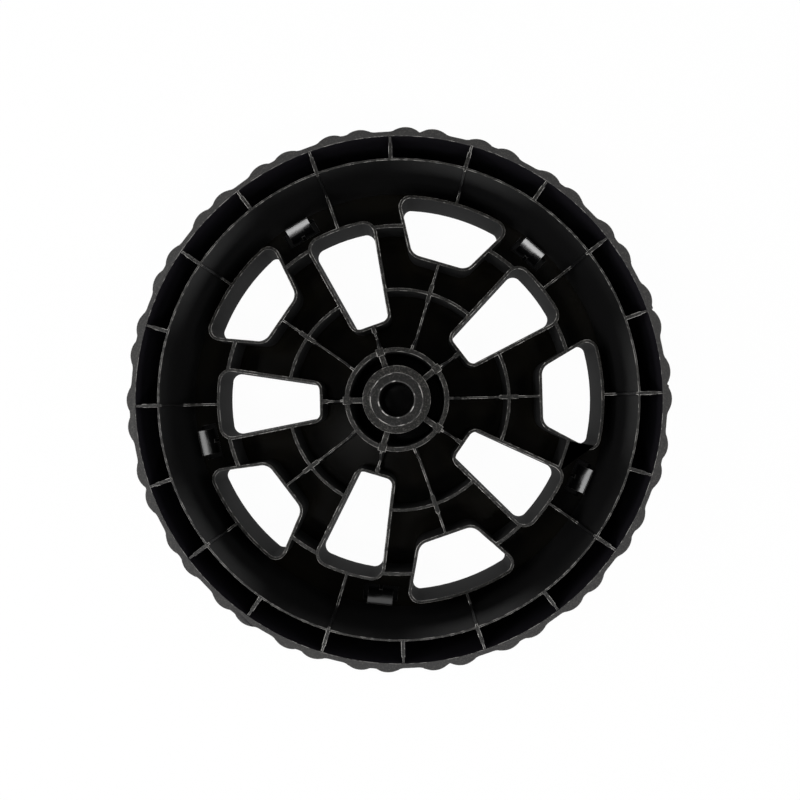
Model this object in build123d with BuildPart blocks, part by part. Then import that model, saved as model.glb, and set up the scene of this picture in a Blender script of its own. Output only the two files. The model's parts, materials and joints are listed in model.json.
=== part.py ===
"""Moulded wheel of a push-along garden machine, lying on its front with the ribbed back up.

Millimetres. The wheel turns about Z, and Z = 0 is the front edge of the tread.
"""
import os
from math import radians, sqrt, tan

from build123d import *

os.makedirs("parts", exist_ok=True)

# Tread: a thin band with cross bars in pairs
wheel_diameter = 203.0
wheel_width = 44.5
band_wall = 1.8
lug_pairs = 22
lug_pair_angle = 6.1
lug_phase = 1.7
lug_height = 1.65
lug_width = 10.0

# Rim wall and the channel between it and the tread band
channel_width = 8.0
rim_wall = 0.8
rim_root_wall = 1.8
rim_draft = 3.94
rim_recess = 0.4
front_skin = 2.2
channel_ribs = 20
channel_rib_wall = 0.9
channel_pad_wall = 1.4
channel_pad_gap = 2.15

# Web, front cover and the depth at which they sit
cover_set_back = 2.6
cover_thickness = 2.0
cover_seat_gap = 0.1
cover_edge_gap = 0.3
web_thickness = 2.4
pocket_step = 0.1

# Windows: an arc set in from the rim wall, and corners as distance from the axis and half width
window_pairs = 5
window_draft = 1.6
collar_wall = 1.2
collar_height = 18.6
outer_rim_gap = 5.9
outer_half_width = 22.6
outer_corner_radius = 3.5
outer_end_distance = 57.5
outer_end_half_width = 11.2
outer_end_corner_radius = 5.0
inner_rim_gap = 14.8
inner_half_width = 13.8
inner_corner_radius = 4.2
inner_end_distance = 31.55
inner_end_half_width = 7.0
inner_end_corner_radius = 3.0

# Ribs on the back of the web
dish_rib_wall = 1.0
dish_rib_lap = 0.9
dish_rib_stand_off = 1.2
dish_rib_heel = 1.6
arc_rib_set_in = 2.2
arc_rib_wall = 1.5
ring_rib_radius = 44.2
ring_rib_wall = 1.25
spoke_wall = 0.85
spoke_nub = 1.6
spoke_slope = 4.2
spoke_pad_wall = 1.7
spoke_pad_length = 7.6
spoke_end_wall = 1.7
spoke_end_length = 2.2

# Hub: boss, ring round it and the plates that join them
boss_radius = 12.7
boss_proud = 1.0
hub_ring_radius = 18.75
hub_ring_wall = 1.75
hub_ring_recess = 2.0
hub_plate_wall = 2.1
hub_block = 3.0
hub_block_rise = 0.3

# Bush in the boss
bore_radius = 6.4
bush_radius = 9.9
bush_press_gap = 0.01
bush_proud = 0.2
bush_chamfer = 0.3

# Snap hooks of the front cover and their slots in the web
hook_angle = 47.0
hook_width = 10.7
hook_rim_gap = 0.4
hook_tongue = 4.0
hook_reach = 2.1
hook_lip = 1.6
hook_back_fall = 2.6
hook_back_radius = 3.2
hook_lead_in = 0.5
hook_lead_in_height = 1.6
hook_seat_gap = 0.1
hook_gusset_wall = 1.6
hook_gusset_foot = 1.4
slot_side_gap = 1.8
slot_inner_gap = 1.8
slot_outer_gap = 0.3

# Front cover: window relief, hub dome, spigot under the bush and edge chamfer
cover_window_relief = 0.5
dome_radius = 21.0
dome_top_radius = 16.0
dome_height = 2.0
spigot_gap = 0.5
spigot_height = 1.5
spigot_end_gap = 0.1
cover_edge_chamfer = 0.8

# Heights and radii that follow from the sizes above
wheel_radius = wheel_diameter / 2
band_radius = wheel_radius - lug_height
band_inner = band_radius - band_wall
band_middle = band_radius - band_wall / 2
cover_middle = cover_set_back + cover_thickness / 2
cover_back = cover_set_back + cover_thickness
web_front = cover_back + cover_seat_gap
web_back = web_front + web_thickness
web_middle = web_front + web_thickness / 2
collar_top = web_front + collar_height
rim_top = wheel_width - rim_recess
rim_outer = band_inner - channel_width
rim_inner = rim_outer - rim_wall
rim_middle = rim_outer - rim_wall / 2
rim_foot_inner = rim_inner - (rim_top - web_back) * tan(radians(rim_draft))
rim_foot_outer = rim_foot_inner + rim_root_wall
rim_foot_middle = rim_foot_inner + rim_root_wall / 2
rim_inner_at_collars = rim_inner - (rim_top - collar_top) * tan(radians(rim_draft))
pocket_radius = rim_foot_inner - pocket_step
cover_radius = pocket_radius - cover_edge_gap
outer_arc_radius = rim_foot_inner - outer_rim_gap
inner_arc_radius = rim_foot_inner - inner_rim_gap
arc_rib_radius = inner_arc_radius - arc_rib_set_in
hook_tip = rim_foot_inner - hook_rim_gap
hook_outer = hook_tip - hook_reach
hook_inner = hook_outer - hook_tongue
hub_ring_top = wheel_width - hub_ring_recess
hub_ring_outer = hub_ring_radius + hub_ring_wall / 2
boss_top = wheel_width + boss_proud
inner_window_angle = 180 / window_pairs


def window_outline(arc_radius, arc_half_width, arc_corner, end_distance, end_half_width, end_corner):
    """Draw a window about +X: an arc outside, straight flanks and a straight inner end."""
    arc_distance = sqrt(arc_radius**2 - arc_half_width**2)
    with BuildSketch() as window:
        with BuildLine():
            ThreePointArc((arc_distance, -arc_half_width), (arc_radius, 0), (arc_distance, arc_half_width))
            Polyline(
                (arc_distance, arc_half_width),
                (end_distance, end_half_width),
                (end_distance, -end_half_width),
                (arc_distance, -arc_half_width),
            )
        make_face()
        fillet(window.vertices().group_by(Axis.X)[-1], arc_corner)
        fillet(window.vertices().group_by(Axis.X)[0], end_corner)
    return window.sketch


def radial_plate(section, wall):
    """Stand a plate on the XZ plane from its (radius, height) section."""
    with BuildPart() as plate:
        with BuildSketch(Plane.XZ):
            with BuildLine():
                Polyline(*section, close=True)
            make_face()
        extrude(amount=wall / 2, both=True)
    return plate.part


def radial_block(inner_radius, outer_radius, wall, bottom, top):
    """Stand a plain upright block on the XZ plane between two radii and two heights."""
    section = [(inner_radius, bottom), (inner_radius, top), (outer_radius, top), (outer_radius, bottom)]
    return radial_plate(section, wall)


def ring_wall(radius, wall, top):
    """Stand a round wall on the web from its middle radius."""
    with BuildPart() as ring:
        with BuildSketch(Plane.XY.offset(web_middle)):
            Circle(radius + wall / 2)
            Circle(radius - wall / 2, mode=Mode.SUBTRACT)
        extrude(amount=top - web_middle)
    return ring.part


def channel_plate(outer_radius, wall):
    """Stand a plate on the floor of the channel, from the rim wall out to a radius."""
    section = [
        (rim_middle, rim_top),
        (outer_radius, rim_top),
        (outer_radius, front_skin / 2),
        (rim_foot_middle, front_skin / 2),
    ]
    return radial_plate(section, wall)


def dish_rib(collar_radius):
    """Run a rib down the rim wall and across to a window collar at the collars' height."""
    heel_radius = rim_inner_at_collars - dish_rib_stand_off
    return radial_plate(
        [
            (rim_middle, rim_top),
            (rim_inner - dish_rib_lap, rim_top),
            (heel_radius, collar_top + dish_rib_heel),
            (heel_radius - dish_rib_heel, collar_top),
            (collar_radius + collar_wall / 2, collar_top),
            (collar_radius + collar_wall / 2, web_middle),
            (rim_foot_middle, web_middle),
        ],
        dish_rib_wall,
    )


def spoke(window_end):
    """Run a rib from the hub ring down its slope and out to the inner end of a window collar."""
    nub_radius = hub_ring_outer + spoke_nub
    return radial_plate(
        [
            (hub_ring_radius, hub_ring_top),
            (nub_radius, hub_ring_top),
            (nub_radius + spoke_slope, collar_top),
            (window_end - collar_wall / 2, collar_top),
            (window_end - collar_wall / 2, web_middle),
            (hub_ring_radius, web_middle),
        ],
        spoke_wall,
    )


outer_window = window_outline(
    outer_arc_radius,
    outer_half_width,
    outer_corner_radius,
    outer_end_distance,
    outer_end_half_width,
    outer_end_corner_radius,
)
inner_window = window_outline(
    inner_arc_radius,
    inner_half_width,
    inner_corner_radius,
    inner_end_distance,
    inner_end_half_width,
    inner_end_corner_radius,
)
windows = ((outer_window, 0), (inner_window, inner_window_angle))

# One cross bar of the tread, seen along the axle: a low arc rooted in the band
lug_edge = sqrt(band_radius**2 - (lug_width / 2) ** 2)
with BuildSketch() as lug:
    with BuildLine():
        ThreePointArc((lug_edge, -lug_width / 2), (wheel_radius, 0), (lug_edge, lug_width / 2))
        Polyline(
            (lug_edge, lug_width / 2),
            (band_middle, lug_width / 2),
            (band_middle, -lug_width / 2),
            (lug_edge, -lug_width / 2),
        )
    make_face()

# Ribs across the channel, thick next to the rim wall and thin at the band
channel_rib = channel_plate(band_middle, channel_rib_wall)
channel_pad = channel_plate(band_inner - channel_pad_gap, channel_pad_wall)

# Thick stretches of the spokes, and the plates and blocks of the hub
spoke_pad = radial_block(
    ring_rib_radius - spoke_pad_length / 2,
    ring_rib_radius + spoke_pad_length / 2,
    spoke_pad_wall,
    web_middle,
    collar_top,
)
inner_collar_end = inner_end_distance - collar_wall
spoke_end = radial_block(
    inner_collar_end - spoke_end_length,
    inner_collar_end + collar_wall / 2,
    spoke_end_wall,
    web_middle,
    collar_top,
)
hub_plate = radial_block(
    (bush_radius + boss_radius) / 2,
    hub_ring_radius,
    hub_plate_wall,
    web_middle,
    hub_ring_top,
)
hub_crossing = radial_block(
    hub_ring_radius - hub_block / 2,
    hub_ring_radius + hub_block / 2,
    hub_block,
    web_middle,
    hub_ring_top + hub_block_rise,
)

# Wheel moulding: tread, rim, web, ribs, collars and hub in one piece
with BuildPart() as wheel_moulding:
    # Blank with the cross bars of the tread, in pairs
    with BuildSketch():
        Circle(band_radius)
        for side in (-1, 1):
            with PolarLocations(0, lug_pairs, start_angle=lug_phase + side * lug_pair_angle / 2):
                add(lug.sketch)
    extrude(amount=wheel_width)

    # Channel, dish and the pocket of the cover, turned out of the blank
    with BuildSketch(Plane.XZ):
        with BuildLine():
            Polyline(
                (band_inner, wheel_width),
                (band_inner, front_skin),
                (rim_foot_outer, front_skin),
                (rim_outer, rim_top),
                (rim_inner, rim_top),
                (rim_foot_inner, web_back),
                (0, web_back),
                (0, wheel_width),
                close=True,
            )
        make_face()
        with BuildLine():
            Polyline((0, 0), (pocket_radius, 0), (pocket_radius, web_front), (0, web_front), close=True)
        make_face()
    revolve(axis=Axis.Z, mode=Mode.SUBTRACT)

    # Boss and window collars
    with BuildSketch(Plane.XY.offset(web_front)):
        Circle(boss_radius)
    extrude(amount=boss_top - web_front)
    for outline, angle in windows:
        collar = offset(outline, amount=collar_wall, mode=Mode.PRIVATE)
        with BuildSketch(Plane.XY.offset(web_front)):
            with PolarLocations(0, window_pairs, start_angle=angle):
                add(collar)
        extrude(amount=collar_height)

    # Round ribs, ribs of the channel, and ribs to the outer and the inner windows
    add(
        [
            ring_wall(arc_rib_radius, arc_rib_wall, collar_top),
            ring_wall(ring_rib_radius, ring_rib_wall, collar_top),
            ring_wall(hub_ring_radius, hub_ring_wall, hub_ring_top),
        ]
    )
    with PolarLocations(0, channel_ribs):
        add([channel_rib, channel_pad])
    with PolarLocations(0, window_pairs):
        add([dish_rib(outer_arc_radius), spoke(outer_end_distance), spoke_pad])
    with PolarLocations(0, window_pairs, start_angle=inner_window_angle):
        add([dish_rib(inner_arc_radius), spoke(inner_end_distance), spoke_end, hub_plate, hub_crossing])

    # Windows, drafted towards the front
    for outline, angle in windows:
        with BuildSketch(Plane.XY.offset(collar_top)):
            with PolarLocations(0, window_pairs, start_angle=angle):
                add(outline)
        extrude(amount=-collar_height, taper=window_draft, mode=Mode.SUBTRACT)

    # Slots for the cover's hooks, and the seat of the bush right through the boss
    slot_inner = hook_inner - slot_inner_gap
    slot_outer = hook_outer + slot_outer_gap
    with BuildSketch(Plane.XY.offset(web_front)):
        with PolarLocations((slot_inner + slot_outer) / 2, window_pairs, start_angle=hook_angle):
            Rectangle(slot_outer - slot_inner, hook_width + 2 * slot_side_gap)
    extrude(amount=web_thickness, mode=Mode.SUBTRACT)
    with BuildSketch(Plane.XY.offset(web_front)):
        Circle(bush_radius)
    extrude(amount=boss_top - web_front, mode=Mode.SUBTRACT)

wheel_moulding.part.label = "wheel_moulding"
export_step(wheel_moulding.part, "parts/wheel_moulding.step")

# Plain sleeve bush, pressed into the boss down to the cover's spigot
bush_bottom = cover_back + spigot_height + spigot_end_gap
with BuildPart() as hub_bush:
    with BuildSketch(Plane.XY.offset(bush_bottom)):
        Circle(bush_radius - bush_press_gap)
        Circle(bore_radius, mode=Mode.SUBTRACT)
    extrude(amount=boss_top + bush_proud - bush_bottom)
    chamfer(hub_bush.edges().group_by(Axis.Z)[-1].sort_by(SortBy.RADIUS)[0], bush_chamfer)

hub_bush.part.label = "hub_bush"
export_step(hub_bush.part, "parts/hub_bush.step")

# Snap hook: a tongue with a lip over the web, a round back, a lead-in outside and a gusset inside
hook_seat = web_back + hook_seat_gap
hook_crest = hook_seat + hook_lip + hook_lead_in_height
hook_shoulder = hook_crest - hook_back_fall
with BuildPart() as hook:
    with BuildSketch(Plane.XZ) as hook_section:
        with BuildLine():
            Polyline(
                (hook_inner, cover_middle),
                (hook_inner, hook_shoulder),
                (hook_tip - hook_lead_in, hook_crest),
                (hook_tip, hook_crest - hook_lead_in_height),
                (hook_tip, hook_seat),
                (hook_outer, hook_seat),
                (hook_outer, cover_middle),
                close=True,
            )
        make_face()
        fillet(hook_section.vertices().sort_by_distance((hook_inner, hook_shoulder))[0], hook_back_radius)
    extrude(amount=hook_width / 2, both=True)
hook_gusset = radial_plate(
    [
        (hook_inner + hook_tongue / 2, cover_middle),
        (hook_inner + hook_tongue / 2, hook_seat),
        (hook_inner, hook_seat),
        (hook_inner - hook_gusset_foot, cover_back),
        (hook_inner - hook_gusset_foot, cover_middle),
    ],
    hook_gusset_wall,
)

# Front cover: a disc with relieved windows, a low hub dome and the five hooks
with BuildPart() as front_cover:
    with BuildSketch(Plane.XY.offset(cover_set_back)):
        Circle(cover_radius)
        for outline, angle in windows:
            relief = offset(outline, amount=cover_window_relief, mode=Mode.PRIVATE)
            with PolarLocations(0, window_pairs, start_angle=angle):
                add(relief, mode=Mode.SUBTRACT)
    extrude(amount=cover_thickness)
    chamfer(front_cover.faces().sort_by(Axis.Z)[0].outer_wire().edges(), cover_edge_chamfer)
    with BuildSketch(Plane.XZ):
        with BuildLine():
            Polyline(
                (0, cover_middle),
                (0, cover_set_back - dome_height),
                (dome_top_radius, cover_set_back - dome_height),
                (dome_radius, cover_set_back),
                (dome_radius, cover_middle),
                close=True,
            )
        make_face()
    revolve(axis=Axis.Z)
    with BuildSketch(Plane.XY.offset(cover_middle)):
        Circle(bush_radius - spigot_gap)
    extrude(amount=cover_thickness / 2 + spigot_height)
    with PolarLocations(0, window_pairs, start_angle=hook_angle):
        add([hook.part, hook_gusset])

front_cover.part.label = "front_cover"
export_step(front_cover.part, "parts/front_cover.step")
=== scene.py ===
"""Looks of a moulded garden machine wheel that lies on its front with the ribbed back up.

Metres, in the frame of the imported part: the wheel turns about Z, and Z = 0 is the plane that it lies on.
"""

from __future__ import annotations

import json
import logging
import math
from contextlib import contextmanager
from dataclasses import dataclass
from enum import Enum
from typing import Any, Callable, Iterable, Iterator, Protocol

import bmesh
import bpy
from mathutils import Matrix, Vector

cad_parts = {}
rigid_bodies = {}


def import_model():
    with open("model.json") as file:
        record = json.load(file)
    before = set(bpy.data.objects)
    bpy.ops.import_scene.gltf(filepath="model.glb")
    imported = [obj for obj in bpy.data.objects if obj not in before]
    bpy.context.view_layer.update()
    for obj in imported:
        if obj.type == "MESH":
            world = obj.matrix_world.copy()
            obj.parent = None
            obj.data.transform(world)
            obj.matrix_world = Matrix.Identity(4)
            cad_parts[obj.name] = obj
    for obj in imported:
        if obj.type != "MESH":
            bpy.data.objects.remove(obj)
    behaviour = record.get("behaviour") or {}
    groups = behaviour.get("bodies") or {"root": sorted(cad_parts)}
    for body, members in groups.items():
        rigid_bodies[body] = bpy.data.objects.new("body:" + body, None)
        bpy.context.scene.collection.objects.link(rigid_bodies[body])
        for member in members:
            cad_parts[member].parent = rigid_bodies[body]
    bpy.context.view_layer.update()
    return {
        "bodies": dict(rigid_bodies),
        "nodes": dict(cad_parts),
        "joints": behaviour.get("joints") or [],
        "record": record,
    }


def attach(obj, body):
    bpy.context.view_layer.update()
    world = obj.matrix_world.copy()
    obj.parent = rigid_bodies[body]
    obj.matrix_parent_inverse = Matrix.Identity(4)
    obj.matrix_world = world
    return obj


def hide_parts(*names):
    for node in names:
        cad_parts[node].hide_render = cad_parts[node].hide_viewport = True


LOG = logging.getLogger("wheel")
BODY = "root"
EASED = "eased"
PLAIN_SLOT, EASED_SLOT = 0, 1
ANY_SLOT = -1
MIX_FACTOR, MIX_FIRST, MIX_SECOND = 0, 6, 7
MIX_COLOUR = 2
MM = 0.001

Colour = tuple[float, float, float]
Span = tuple[float, float]


class Root(Enum):
    """How a cross bar of the tread meets the band: beside its twin, or beside the open stretch."""

    TWIN = "twin"
    OPEN = "open"


def pick(piece: bpy.types.Object) -> None:
    """Make a piece the one selected object and the active one.

    Args:
        piece: The object to pick.
    """
    bpy.ops.object.select_all(action="DESELECT")
    piece.select_set(True)
    bpy.context.view_layer.objects.active = piece


@contextmanager
def editing(piece: bpy.types.Object) -> Iterator[None]:
    """Hold one piece in edit mode, with edges to select and none selected yet.

    Args:
        piece: The mesh object to edit.
    """
    pick(piece)
    bpy.ops.object.mode_set(mode="EDIT")
    bpy.ops.mesh.select_mode(type="EDGE")
    bpy.ops.mesh.select_all(action="DESELECT")
    try:
        yield
    finally:
        bpy.ops.object.mode_set(mode="OBJECT")


def take(piece: bpy.types.Object, edges: Iterable[bmesh.types.BMEdge]) -> int:
    """Select some edges of a piece in edit mode.

    Args:
        piece: The mesh object, in edit mode.
        edges: The edges to select.

    Returns:
        The number of edges.
    """
    count = 0
    for edge in edges:
        edge.select_set(True)
        count += 1
    bmesh.from_edit_mesh(piece.data).select_flush_mode()
    bmesh.update_edit_mesh(piece.data)
    return count


def take_where(piece: bpy.types.Object, wanted: Callable[[bmesh.types.BMEdge], bool]) -> int:
    """Select the edges of a piece in edit mode that pass a test, and return their number."""
    return take(piece, [edge for edge in bmesh.from_edit_mesh(piece.data).edges if wanted(edge)])


def fold(edge: bmesh.types.BMEdge) -> float:
    """Return how far an edge folds, in degrees: above 0 at a corner and below 0 in a crease."""
    return math.degrees(edge.calc_face_angle_signed(0.0)) if len(edge.link_faces) == 2 else 0.0


def climb(edge: bmesh.types.BMEdge) -> float:
    """Return how far an edge climbs along the axle line."""
    return abs(edge.verts[0].co.z - edge.verts[1].co.z)


def round_off(width: float, rounds: int, slot: int = ANY_SLOT) -> None:
    """Round the selected edges of the piece that is in edit mode.

    Args:
        width: Width of the round in metres.
        rounds: How many strips of faces make the round.
        slot: Material slot of the new faces.
    """
    bpy.ops.mesh.bevel(
        offset=width,
        segments=rounds,
        profile=0.5,
        affect="EDGES",
        clamp_overlap=False,
        material=slot,
    )


class Shade:
    """One output of a node, with the operators that shader maths needs."""

    def __init__(self, bench: Bench, socket: bpy.types.NodeSocket) -> None:
        """Wrap a socket of a bench's tree."""
        self.bench = bench
        self.socket = socket

    def _maths(self, operation: str, first: Any, second: Any) -> Shade:
        """Return a Math node's result for two values."""
        node = self.bench.node("ShaderNodeMath", {"operation": operation}, {0: first, 1: second})
        return Shade(self.bench, node.outputs[0])

    def __add__(self, other: Any) -> Shade:
        """Return self + other."""
        return self._maths("ADD", self, other)

    def __radd__(self, other: Any) -> Shade:
        """Return other + self."""
        return self._maths("ADD", other, self)

    def __sub__(self, other: Any) -> Shade:
        """Return self - other."""
        return self._maths("SUBTRACT", self, other)

    def __rsub__(self, other: Any) -> Shade:
        """Return other - self."""
        return self._maths("SUBTRACT", other, self)

    def __mul__(self, other: Any) -> Shade:
        """Return self * other."""
        return self._maths("MULTIPLY", self, other)

    def __rmul__(self, other: Any) -> Shade:
        """Return other * self."""
        return self._maths("MULTIPLY", other, self)

    def __pow__(self, other: Any) -> Shade:
        """Return self to the power of other."""
        return self._maths("POWER", self, other)

    def above(self, low: float, high: float) -> Shade:
        """Return 0 below low, 1 above high and a smooth rise between them."""
        values = {"Value": self, "From Min": low, "From Max": high}
        node = self.bench.node("ShaderNodeMapRange", {"interpolation_type": "SMOOTHSTEP"}, values)
        return Shade(self.bench, node.outputs[0])

    def between(self, first: Any, second: Any) -> Shade:
        """Return the first value where this is 0, the second where it is 1, and a mix between."""
        return first + self * (second - first)

    def around(self, share: float) -> Shade:
        """Return a pattern that runs from 0 to 1 as one that runs evenly about 0, scaled by a share."""
        return (self - 0.5) * share


@dataclass(frozen=True)
class Pattern:
    """A noise pattern: its grain in metres, how many finer layers it has and how strong they are."""

    size: float
    detail: float
    rough: float


@dataclass(frozen=True)
class Relief:
    """A fine relief of a surface: how strongly it turns the light, and its depth in metres."""

    strength: float
    depth: float


class Bench:
    """The node tree of one material, and the one way to add nodes to it."""

    def __init__(self, name: str) -> None:
        """Start an empty material.

        Args:
            name: The material's name.
        """
        self.material = bpy.data.materials.new(name)
        self.material.use_nodes = True
        self.tree = self.material.node_tree
        self.tree.nodes.clear()

    def node(
        self,
        kind: str,
        settings: dict[str, Any] | None = None,
        inputs: dict[str | int, Any] | None = None,
    ) -> bpy.types.Node:
        """Add a node, set it up and feed its sockets.

        Args:
            kind: The node's type.
            settings: Values of the node's own properties, set first.
            inputs: A value, a Shade or a socket for each input, by name or number.

        Returns:
            The new node.
        """
        made = self.tree.nodes.new(kind)
        for name, value in (settings or {}).items():
            setattr(made, name, value)
        for name, value in (inputs or {}).items():
            socket = made.inputs[name]
            if isinstance(value, Shade):
                self.tree.links.new(value.socket, socket)
            elif isinstance(value, bpy.types.NodeSocket):
                self.tree.links.new(value, socket)
            else:
                socket.default_value = value
        return made

    def place(self) -> tuple[Shade, Shade]:
        """Return where the shaded point lies on the object, and its normal."""
        node = self.node("ShaderNodeTexCoord")
        return Shade(self, node.outputs["Object"]), Shade(self, node.outputs["Normal"])

    def eased(self) -> Shade:
        """Return 1 on the eased corners of a piece and 0 elsewhere."""
        node = self.node("ShaderNodeAttribute", {"attribute_name": EASED})
        return Shade(self, node.outputs["Fac"])

    def split(self, vector: Shade) -> tuple[Shade, Shade, Shade]:
        """Return the three parts of a vector."""
        node = self.node("ShaderNodeSeparateXYZ", None, {0: vector})
        return tuple(Shade(self, node.outputs[i]) for i in range(3))

    def noise(self, point: Shade, pattern: Pattern) -> Shade:
        """Return the value of a noise pattern at a point, from 0 to 1.

        Args:
            point: Where the pattern is read.
            pattern: Its grain and layers.

        Returns:
            The pattern's value.
        """
        values = {
            "Vector": point,
            "Scale": 1 / pattern.size,
            "Detail": pattern.detail,
            "Roughness": pattern.rough,
        }
        return Shade(self, self.node("ShaderNodeTexNoise", None, values).outputs[0])

    def blend(self, factor: Shade, first: Colour | Shade, second: Colour | Shade) -> Shade:
        """Return a colour between two colours.

        Args:
            factor: 0 for the first colour and 1 for the second.
            first: A colour, as numbers or a Shade.
            second: A colour, as numbers or a Shade.

        Returns:
            The mixed colour.
        """
        settings = {"data_type": "RGBA", "clamp_factor": True}
        pair = [value if isinstance(value, Shade) else (*value, 1.0) for value in (first, second)]
        values = {MIX_FACTOR: factor, MIX_FIRST: pair[0], MIX_SECOND: pair[1]}
        return Shade(self, self.node("ShaderNodeMix", settings, values).outputs[MIX_COLOUR])

    def plastic(
        self, colour: Shade, rough: Shade, ior: float, height: Shade, relief: Relief
    ) -> bpy.types.Material:
        """Finish the material as a plastic with a fine relief.

        Args:
            colour: Base colour.
            rough: Roughness.
            ior: Index of refraction.
            height: Pattern of the relief.
            relief: Strength and depth of the relief.

        Returns:
            The finished material.
        """
        values = {"Strength": relief.strength, "Distance": relief.depth, "Height": height}
        bump = self.node("ShaderNodeBump", None, values)
        shader = self.node(
            "ShaderNodeBsdfPrincipled",
            None,
            {"Base Color": colour, "Roughness": rough, "IOR": ior, "Normal": bump.outputs[0]},
        )
        return self.surface(shader)

    def surface(self, shader: bpy.types.Node) -> bpy.types.Material:
        """Send a shader to the material's surface and return the material."""
        self.node("ShaderNodeOutputMaterial", None, {"Surface": shader.outputs[0]})
        return self.material


class Finish(Protocol):
    """A finish that a piece can be dressed in."""

    def material(self) -> bpy.types.Material:
        """Return the finish as a new material."""


@dataclass(frozen=True)
class BlackMoulding:
    """Black polypropylene: satin walls, a glossy floor, grained tops where the tool was sparked, painted
    highlights on the eased edges and painted light in the channel.

    A span says where a mask rises from 0 to 1: over the radius, the height, a part of the normal or the
    value of a pattern.
    """

    wall_colour: Colour = (0.0024, 0.0024, 0.0026)
    floor_colour: Colour = (0.0024, 0.0019, 0.0007)
    # Painted light: a lighter, purple-tinted base stands in for light that does not reach the deep
    # channel.
    channel_painted_light_colour: Colour = (0.0070, 0.0062, 0.0090)
    top_colour: Colour = (0.0024, 0.0022, 0.0017)
    tread_colour: Colour = (0.0215, 0.0208, 0.0207)
    speck_colour: Colour = (0.080, 0.076, 0.068)
    # Painted highlight: the light colour of the eased corners stands in for lamp glints on the rounded
    # edges.
    edge_highlight_colour: Colour = (0.480, 0.468, 0.446)
    rim_roughness: float = 0.55
    wall_roughness: float = 0.90
    floor_roughness: float = 0.17
    top_roughness: float = 0.42
    tread_roughness: float = 0.56
    edge_roughness: float = 0.32
    flow_roughness: float = 0.10
    ior: float = 1.36
    grain: Pattern = Pattern(0.62 * MM, 3.0, 0.62)
    flow: Pattern = Pattern(26 * MM, 4.0, 0.55)
    # Noise that breaks the painted edge highlights into dashes.
    glint: Pattern = Pattern(3.1 * MM, 2.0, 0.6)
    rim_span: Span = (84.0 * MM, 84.6 * MM)
    channel_span: Span = (89.7 * MM, 90.3 * MM)
    tread_span: Span = (95.2 * MM, 96.0 * MM)
    raised_span: Span = (8.0 * MM, 12.0 * MM)
    top_span: Span = (0.72, 0.95)
    speck_span: Span = (0.52, 0.62)
    speck_share: float = 0.45
    tread_speck_share: float = 0.35
    spoke_span: Span = (0.04, 0.16)
    corner_span: Span = (0.15, 0.45)
    glint_dash_span: Span = (0.47, 0.60)
    least_glint: float = 0.12
    ring_glint: float = 0.38
    wall_grain: float = 0.10
    flow_height: float = 1.2
    relief: Relief = Relief(0.5, 0.10 * MM)

    def material(self) -> bpy.types.Material:
        """Build the plastic of the wheel moulding.

        Returns:
            The finished material.
        """
        bench = Bench("black_moulding")
        point, normal = bench.place()
        across, along, height = bench.split(point)
        lean_x, lean_y, upward = bench.split(normal)
        radius = (across * across + along * along) ** 0.5
        rim = radius.above(*self.rim_span)
        channel = radius.above(*self.channel_span)
        tread = radius.above(*self.tread_span)
        facing = upward.above(*self.top_span)
        raised = height.above(*self.raised_span)
        tops = facing * raised
        floor = facing * (1 - raised)
        swing = lean_x * along - lean_y * across
        spoke = (swing * swing * radius**-2.0).above(*self.spoke_span)
        edge = bench.eased()
        grain = bench.noise(point, self.grain)
        flow = bench.noise(point, self.flow)
        glint_dashes = bench.noise(point, self.glint).above(*self.glint_dash_span)

        # Painted light on the walls of the deep channel outside the rim.
        colour = bench.blend(channel, self.wall_colour, self.channel_painted_light_colour)
        colour = bench.blend(tops, colour, bench.blend(tread, self.top_colour, self.tread_colour))
        colour = bench.blend(floor, colour, self.floor_colour)
        specks = grain.above(*self.speck_span) * tops
        specks = specks * tread.between(self.speck_share, self.tread_speck_share)
        colour = bench.blend(specks, colour, self.speck_colour)
        # Painted highlight on the eased corners that face up, strongest on spokes and window sides and
        # broken into dashes.
        glint = edge * raised * upward.above(*self.corner_span) * spoke.between(self.ring_glint, 1.0)
        colour = bench.blend(glint * (self.least_glint + glint_dashes), colour, self.edge_highlight_colour)

        rough = rim.between(self.wall_roughness, self.rim_roughness)
        rough = tops.between(rough, tread.between(self.top_roughness, self.tread_roughness))
        rough = floor.between(rough, self.floor_roughness)
        rough = edge.between(rough, self.edge_roughness) + flow.around(self.flow_roughness)
        relief = grain * tops.between(self.wall_grain, 1.0) + flow * self.flow_height
        return bench.plastic(colour, rough, self.ior, relief, self.relief)


@dataclass(frozen=True)
class BearingPlastic:
    """Dark bearing plastic of the bush, with a slightly porous end and a painted glint along its eased
    edges.
    """

    colour: Colour = (0.0026, 0.0025, 0.0023)
    pore_colour: Colour = (0.050, 0.048, 0.044)
    # Painted highlight colour of the eased edges.
    edge_highlight_colour: Colour = (0.420, 0.410, 0.395)
    roughness: float = 0.42
    grain_roughness: float = 0.25
    ior: float = 1.36
    grain: Pattern = Pattern(0.7 * MM, 3.0, 0.65)
    glint: Pattern = Pattern(4.2 * MM, 2.0, 0.6)
    top_span: Span = (0.5, 0.9)
    pore_span: Span = (0.52, 0.62)
    pore_share: float = 0.35
    glint_dash_span: Span = (0.46, 0.58)
    least_glint: float = 0.06
    relief: Relief = Relief(0.5, 0.08 * MM)

    def material(self) -> bpy.types.Material:
        """Build the plastic of the bush.

        Returns:
            The finished material.
        """
        bench = Bench("bearing_plastic")
        point, normal = bench.place()
        tops = bench.split(normal)[2].above(*self.top_span)
        grain = bench.noise(point, self.grain)
        glint_dashes = bench.noise(point, self.glint).above(*self.glint_dash_span)
        pores = grain.above(*self.pore_span) * tops * self.pore_share
        colour = bench.blend(pores, self.colour, self.pore_colour)
        # Painted highlight: a broken light ring on the eased edges of the end stands in for lamp glints.
        colour = bench.blend(bench.eased() * tops * (self.least_glint + glint_dashes), colour, self.edge_highlight_colour)
        rough = self.roughness + grain.around(self.grain_roughness)
        return bench.plastic(colour, rough, self.ior, grain, self.relief)


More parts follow.
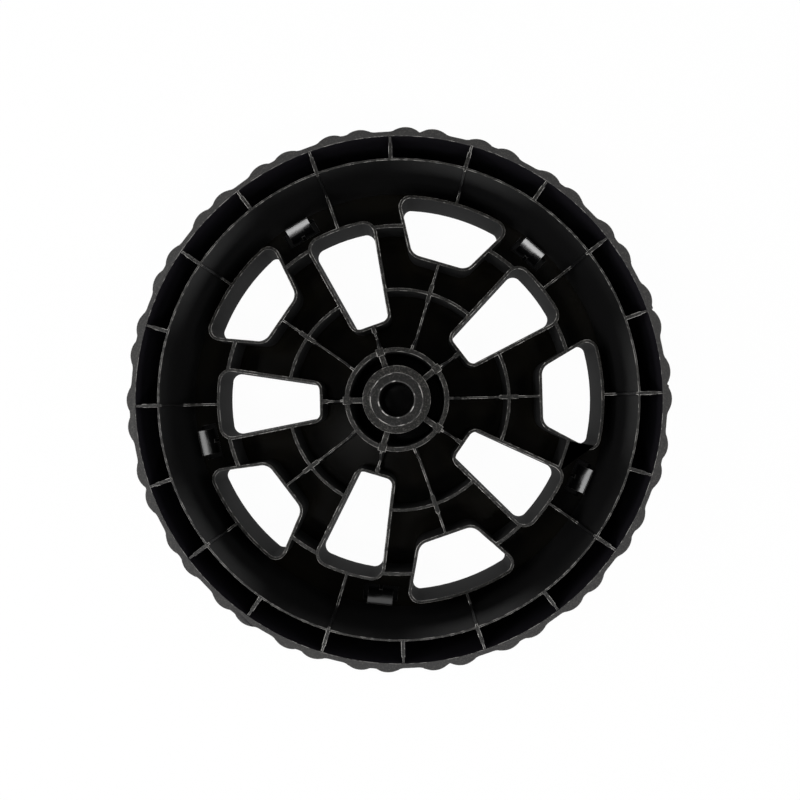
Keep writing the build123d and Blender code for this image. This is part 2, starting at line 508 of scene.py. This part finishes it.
@dataclass(frozen=True)
class SmoothBlack:
    """Smooth black plastic of the clip-on cover, glossier than the wheel, with faint flow marks and
    painted highlights on its eased corners.
    """

    colour: Colour = (0.0032, 0.0033, 0.0036)
    flow_colour: Colour = (0.0050, 0.0051, 0.0054)
    edge_highlight_colour: Colour = (0.050, 0.049, 0.047)
    roughness: float = 0.15
    flow_roughness: float = 0.06
    grain_roughness: float = 0.04
    ior: float = 1.5
    flow: Pattern = Pattern(30 * MM, 3.0, 0.5)
    grain: Pattern = Pattern(0.6 * MM, 2.0, 0.6)
    grain_height: float = 0.3
    relief: Relief = Relief(0.15, 0.03 * MM)

    def material(self) -> bpy.types.Material:
        """Build the plastic of the cover.

        Returns:
            The finished material.
        """
        bench = Bench("smooth_black")
        point, _ = bench.place()
        flow = bench.noise(point, self.flow)
        grain = bench.noise(point, self.grain)
        colour = bench.blend(flow, self.colour, self.flow_colour)
        # Painted highlight on the eased corners, such as the gusset tips.
        colour = bench.blend(bench.eased(), colour, self.edge_highlight_colour)
        rough = self.roughness + flow.around(self.flow_roughness) + grain.around(self.grain_roughness)
        return bench.plastic(colour, rough, self.ior, flow + self.grain_height * grain, self.relief)


@dataclass(frozen=True)
class StudioWhite:
    """White paper of the floor and backdrop: plain white to the eye, with the wheel's soft shadow."""

    colour: Colour = (0.86, 0.86, 0.86)
    white: Colour = (1.0, 1.0, 1.0)
    share: float = 0.975

    def material(self) -> bpy.types.Material:
        """Build the paper of the stage.

        Returns:
            The finished material.
        """
        bench = Bench("studio_white")
        path = bench.node("ShaderNodeLightPath")
        camera, glossy, through = (
            Shade(bench, path.outputs[f"Is {kind} Ray"]) for kind in ("Camera", "Glossy", "Transmission")
        )
        direct = (camera + glossy + through) * self.share
        paper = bench.node("ShaderNodeBsdfDiffuse", None, {"Color": (*self.colour, 1.0)})
        white = bench.node("ShaderNodeEmission", None, {"Color": (*self.white, 1.0), "Strength": 1.0})
        values = {0: direct, 1: paper.outputs[0], 2: white.outputs[0]}
        return bench.surface(bench.node("ShaderNodeMixShader", None, values))


@dataclass
class CarriedPiece:
    """A CAD node carried over as one welded mesh with its sharp corners eased."""

    node: str
    piece: str
    slot: str
    finish: Finish
    corner: float = 0.2 * MM
    rounds: int = 2
    sharp_from: float = 40.0
    smooth_to: float = 50.0
    normal_weight: int = 100
    weld: float = 0.004 * MM
    flat_within: float = 0.4

    def build(self, frame: dict[str, Any]) -> bpy.types.Object:
        """Make the piece, dress it and set it on its body.


        Returns:
            The finished object.
        """
        made = self.copy_of(frame["nodes"][self.node])
        self.shape(made)
        self.ease(made)
        self.shade(made)
        made.data.materials.clear()
        made.data.materials.append(self.finish.material())
        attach(made, BODY)
        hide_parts(self.node)
        LOG.info("%s: %d faces", made.name, len(made.data.polygons))
        return made

    def copy_of(self, source: bpy.types.Object) -> bpy.types.Object:
        """Make a welded copy of a CAD node with its flat faces made whole.

        Args:
            source: The CAD node.

        Returns:
            A new object with its own mesh.
        """
        made = bpy.data.objects.new(self.piece, source.data.copy())
        bpy.context.scene.collection.objects.link(made)
        with editing(made):
            bpy.ops.mesh.customdata_custom_splitnormals_clear()
            bpy.ops.mesh.select_all(action="SELECT")
            bpy.ops.mesh.remove_doubles(threshold=self.weld)
            bpy.ops.mesh.dissolve_degenerate(threshold=self.weld)
            bpy.ops.mesh.dissolve_limited(angle_limit=math.radians(self.flat_within))
        return made

    def shape(self, made: bpy.types.Object) -> None:
        """Add the forms that only this piece has."""

    def ease(self, made: bpy.types.Object) -> None:
        """Round the sharp corners of a piece and mark the new faces for its finish.

        Args:
            made: The piece.
        """
        made.data.materials.clear()
        for _ in (PLAIN_SLOT, EASED_SLOT):
            made.data.materials.append(None)
        with editing(made):
            count = take_where(made, lambda edge: fold(edge) > self.sharp_from)
            round_off(self.corner, self.rounds, EASED_SLOT)
        faces = made.data.polygons
        mark = made.data.attributes.new(EASED, "FLOAT", "FACE")
        mark.data.foreach_set("value", [float(face.material_index == EASED_SLOT) for face in faces])
        faces.foreach_set("material_index", [PLAIN_SLOT] * len(faces))
        LOG.info("%s: %d corners eased", made.name, count)

    def shade(self, made: bpy.types.Object) -> None:
        """Shade the round faces of a piece smooth and keep its flat ones flat.

        Args:
            made: The piece.
        """
        pick(made)
        bpy.ops.object.shade_smooth_by_angle(angle=math.radians(self.smooth_to))
        modifier = made.modifiers.new("weighted_normal", "WEIGHTED_NORMAL")
        modifier.weight = self.normal_weight
        modifier.keep_sharp = True
        bpy.ops.object.modifier_apply(modifier=modifier.name)


@dataclass
class WheelMoulding(CarriedPiece):
    """Tread, rim, web, ribs and hub in one moulding, with soft roots under the cross bars."""

    band_radius: float = 99.85 * MM
    near_band: float = 0.6 * MM
    on_band: float = 0.02 * MM
    upright: float = 0.01 * MM
    root_fold: float = -15.0
    near_twin: float = 2.0 * MM
    twin_fill: float = 0.5 * MM
    open_blend: float = 1.6 * MM
    blend_rounds: int = 3
    short_edge: float = 0.26 * MM

    def shape(self, made: bpy.types.Object) -> None:
        """Blend the roots of the cross bars into the band.

        Args:
            made: The moulding.
        """
        with editing(made):
            inner = self.band_radius - self.near_band
            take_where(made, lambda edge: edge.verts[0].co.xy.length > inner)
            bpy.ops.mesh.remove_doubles(threshold=self.short_edge)
        with editing(made):
            count = self.take_roots(made, Root.OPEN)
            round_off(self.open_blend, self.blend_rounds)
        LOG.info("%s: %d open roots blended", made.name, count)
        with editing(made):
            count = self.take_roots(made, Root.TWIN)
            growth = 1 + self.twin_fill / self.band_radius
            bpy.ops.transform.resize(value=(growth, growth, 1.0), center_override=(0.0, 0.0, 0.0))
        LOG.info("%s: %d twin roots filled", made.name, count)

    def take_roots(self, made: bpy.types.Object, root: Root) -> int:
        """Select the upright creases beside the cross bars that are of one kind.

        Args:
            made: The moulding, in edit mode.
            root: Which roots are wanted.

        Returns:
            The number of creases that are selected.
        """
        feet: list[tuple[float, bmesh.types.BMEdge]] = []
        for edge in bmesh.from_edit_mesh(made.data).edges:
            a, b = (vert.co for vert in edge.verts)
            upright = (a.xy - b.xy).length < self.upright
            on_band = abs(a.xy.length - self.band_radius) < self.on_band
            if upright and on_band and fold(edge) < self.root_fold:
                feet.append((math.atan2(a.y, a.x), edge))
        feet.sort(key=lambda foot: foot[0])
        turns = [turn for turn, _ in feet]
        wanted = []
        for i, (turn, edge) in enumerate(feet):
            ahead = (turns[(i + 1) % len(turns)] - turn) % math.tau
            behind = (turn - turns[i - 1]) % math.tau
            beside_twin = min(ahead, behind) * self.band_radius < self.near_twin
            if beside_twin == (root is Root.TWIN):
                wanted.append(edge)
        return take(made, wanted)


@dataclass
class HubBush(CarriedPiece):
    """Sleeve bush of the hub, with an eased outer edge that catches the light."""

    corner: float = 0.3 * MM


@dataclass
class FrontCover(CarriedPiece):
    """Clip-on cover of the front, with softly crowned backs on its snap hooks."""

    back_area: float = 30.0 * MM * MM
    back_slope: Span = (0.85, 0.95)
    least_climb: float = 1.0 * MM
    crown: float = 0.075 * MM
    crown_cuts: int = 5
    crown_end: float = 0.99

    def shape(self, made: bpy.types.Object) -> None:
        """Crown the backs of the hooks, so that light fades towards their long edges.

        Args:
            made: The cover.
        """
        low, high = self.back_slope
        with editing(made):
            shape = bmesh.from_edit_mesh(made.data)
            sloped = [face for face in shape.faces if low < face.normal.z < high]
            backs = [face for face in sloped if face.calc_area() > self.back_area]
            rails = [edge for face in backs for edge in face.edges if climb(edge) > self.least_climb]
            levels = [vert.co.z for edge in rails for vert in edge.verts]
            foot, crest = min(levels), max(levels)
            take(made, rails)
            bpy.ops.mesh.subdivide(number_cuts=self.crown_cuts)
            for vert in bmesh.from_edit_mesh(made.data).verts:
                share = (2 * vert.co.z - foot - crest) / (crest - foot)
                if vert.select and abs(share) < self.crown_end:
                    vert.co.z += self.crown * (1 - share * share)
            bmesh.update_edit_mesh(made.data)
        LOG.info("%s: %d hook backs crowned", made.name, len(backs))


@dataclass(frozen=True)
class Lamp:
    """One soft lamp over the wheel: lean from the axle line and turn about it in degrees, watts."""

    name: str
    lean: float
    turn: float
    distance: float
    size: tuple[float, float]
    power: float

    def hang(self, aim: Vector) -> bpy.types.Object:
        """Hang the lamp and point it.

        Args:
            aim: The point that the lamp looks at.

        Returns:
            The lamp's object.
        """
        lean, turn = math.radians(self.lean), math.radians(self.turn)
        side = math.sin(lean)
        towards = Vector((side * math.cos(turn), side * math.sin(turn), math.cos(lean)))
        light = bpy.data.lights.new(self.name, "AREA")
        light.shape = "RECTANGLE"
        light.size, light.size_y = self.size
        light.energy = self.power
        lamp = bpy.data.objects.new(self.name, light)
        lamp.location = aim + towards * self.distance
        lamp.rotation_mode = "QUATERNION"
        lamp.rotation_quaternion = towards.to_track_quat("Z", "Y")
        lamp.visible_camera = False
        bpy.context.scene.collection.objects.link(lamp)
        return lamp


@dataclass
class Studio:
    """White paper under and round the wheel, soft lamps and a dim room."""

    floor_drop: float = 0.05 * MM
    floor_radius: float = 1.6
    floor_sides: int = 128
    sweep: float = 0.5
    sweep_steps: int = 8
    wall: float = 1.1
    aim_level: float = 20 * MM
    room: Colour = (0.025, 0.025, 0.026)
    lamps: tuple[Lamp, ...] = (
        Lamp("key_softbox_left", 31.0, -134.0, 1.0, (0.34, 0.15), 2.3),
        Lamp("key_softbox_right", 29.5, -63.0, 1.0, (0.34, 0.15), 2.15),
        Lamp("left_softbox", 31.0, 157.0, 1.0, (0.3, 0.15), 1.3),
        Lamp("right_softbox", 29.0, 12.0, 1.0, (0.3, 0.15), 0.95),
        Lamp("top_softbox", 30.0, 86.0, 1.0, (0.34, 0.18), 0.36),
        Lamp("left_fill", 50.0, 182.0, 1.1, (0.8, 0.3), 5.4),
        Lamp("right_fill", 56.0, 0.0, 1.1, (0.8, 0.3), 2.6),
        Lamp("top_fill", 56.0, 90.0, 1.1, (0.8, 0.3), 0.5),
        Lamp("bottom_fill", 58.0, -92.0, 1.1, (0.8, 0.3), 1.2),
        Lamp("overhead_card", 6.6, 212.0, 1.1, (0.06, 0.045), 0.018),
    )

    def build(self) -> None:
        """Make the paper, the lamps and the room's light."""
        paper = self.paper()
        paper.data.materials.append(StudioWhite().material())
        for lamp in self.lamps:
            lamp.hang(Vector((0.0, 0.0, self.aim_level)))
        world = bpy.data.worlds.new("dim_room")
        world.use_nodes = True
        background = next(node for node in world.node_tree.nodes if node.type == "BACKGROUND")
        background.inputs["Color"].default_value = (*self.room, 1.0)
        bpy.context.scene.world = world
        LOG.info("studio: %d lamps", len(self.lamps))

    def paper(self) -> bpy.types.Object:
        """Make the floor and sweep its rim up to a round backdrop.

        Returns:
            The paper's object.
        """
        bpy.ops.object.select_all(action="DESELECT")
        bpy.ops.mesh.primitive_circle_add(
            vertices=self.floor_sides,
            radius=self.floor_radius,
            fill_type="NGON",
            location=(0, 0, -self.floor_drop),
        )
        made = bpy.context.object
        made.name = "paper"
        with editing(made):
            take_where(made, lambda edge: len(edge.link_faces) == 1)
            radius, level = self.floor_radius, 0.0
            for step in range(1, self.sweep_steps + 1):
                turn = math.radians(90) * step / self.sweep_steps
                wider = self.floor_radius + self.sweep * math.sin(turn)
                higher = self.sweep * (1 - math.cos(turn))
                self.lift(higher - level, wider / radius)
                radius, level = wider, higher
            self.lift(self.wall, 1.0)
        bpy.ops.object.transform_apply(location=True, rotation=True, scale=True)
        bpy.ops.object.shade_smooth()
        return made

    def lift(self, rise: float, growth: float) -> None:
        """Extrude the open rim of the paper upwards and outwards."""
        bpy.ops.mesh.extrude_edges_move(TRANSFORM_OT_translate={"value": (0.0, 0.0, rise)})
        bpy.ops.transform.resize(value=(growth, growth, 1.0))


@dataclass(frozen=True)
class PhotoCamera:
    """The camera of the photograph, set over the open back of the wheel."""

    focal_px: float = 748.0
    frame_px: float = 800.0
    sensor: float = 36.0
    clip: Span = (0.01, 20.0)
    height: float = 278.0 * MM
    rim_level: float = 44.5 * MM
    tilt: tuple[float, float] = (-0.222, -1.536)
    roll: float = 1.48
    slide: tuple[float, float] = (-1.25 * MM, 0.212 * MM)

    def build(self) -> bpy.types.Object:
        """Make the scene's camera.

        Returns:
            The camera's object.
        """
        data = bpy.data.cameras.new("photo_camera")
        data.sensor_width = self.sensor
        data.lens = self.focal_px / self.frame_px * self.sensor
        data.clip_start, data.clip_end = self.clip
        camera = bpy.data.objects.new("photo_camera", data)
        bpy.context.scene.collection.objects.link(camera)
        lean_x, lean_y = (math.radians(angle) for angle in self.tilt)
        turn = (
            Matrix.Rotation(lean_y, 3, "Y")
            @ Matrix.Rotation(lean_x, 3, "X")
            @ Matrix.Rotation(math.radians(self.roll), 3, "Z")
        ).transposed()
        eye = turn @ Vector((-self.slide[0], -self.slide[1], self.height))
        eye.z += self.rim_level
        camera.matrix_world = Matrix.Translation(eye) @ turn.to_4x4()
        bpy.context.scene.camera = camera
        return camera


def main() -> None:
    """Build the dressed wheel, the studio and the camera in order."""
    logging.basicConfig(level=logging.INFO, format="%(message)s")
    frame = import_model()
    bpy.context.scene.view_settings.view_transform = "Standard"
    pieces = (
        WheelMoulding("wheel_moulding", "ribbed_wheel", "wheel_plastic", BlackMoulding()),
        HubBush("hub_bush", "axle_bush", "bush_plastic", BearingPlastic()),
        FrontCover("front_cover", "clip_cover", "cover_plastic", SmoothBlack()),
    )
    for piece in pieces:
        piece.build(frame)
    Studio().build()
    PhotoCamera().build()


if __name__ == "__main__":
    main()
